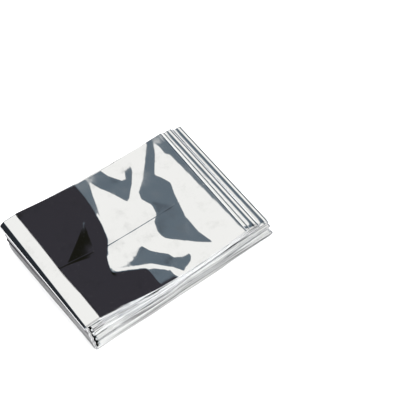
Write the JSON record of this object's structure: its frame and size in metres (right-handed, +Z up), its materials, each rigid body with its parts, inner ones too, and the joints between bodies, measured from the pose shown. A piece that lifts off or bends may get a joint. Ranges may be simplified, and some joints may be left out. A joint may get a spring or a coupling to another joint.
{
  "type": "folded emergency foil blanket",
  "caption": "Emergency foil blanket folded flat: one sheet of thin silvery metallised film, pleated into a strip and folded back and forth into a small stack.",
  "frame": {"origin": "middle of the stack's box, on the surface that the stack lies on", "axes": "+X along the passes, from the wrapped end to the end where the turns fan out; +Y across the strip; +Z up"},
  "size_m": [0.1388, 0.093, 0.0303],
  "materials": {
    "metallised_film": "mirror-bright vacuum-metallised plastic film, lightly crinkled"
  },
  "bodies": {
    "root": {"foil_sheet": "metallised_film"}
  },
  "joints": []
}
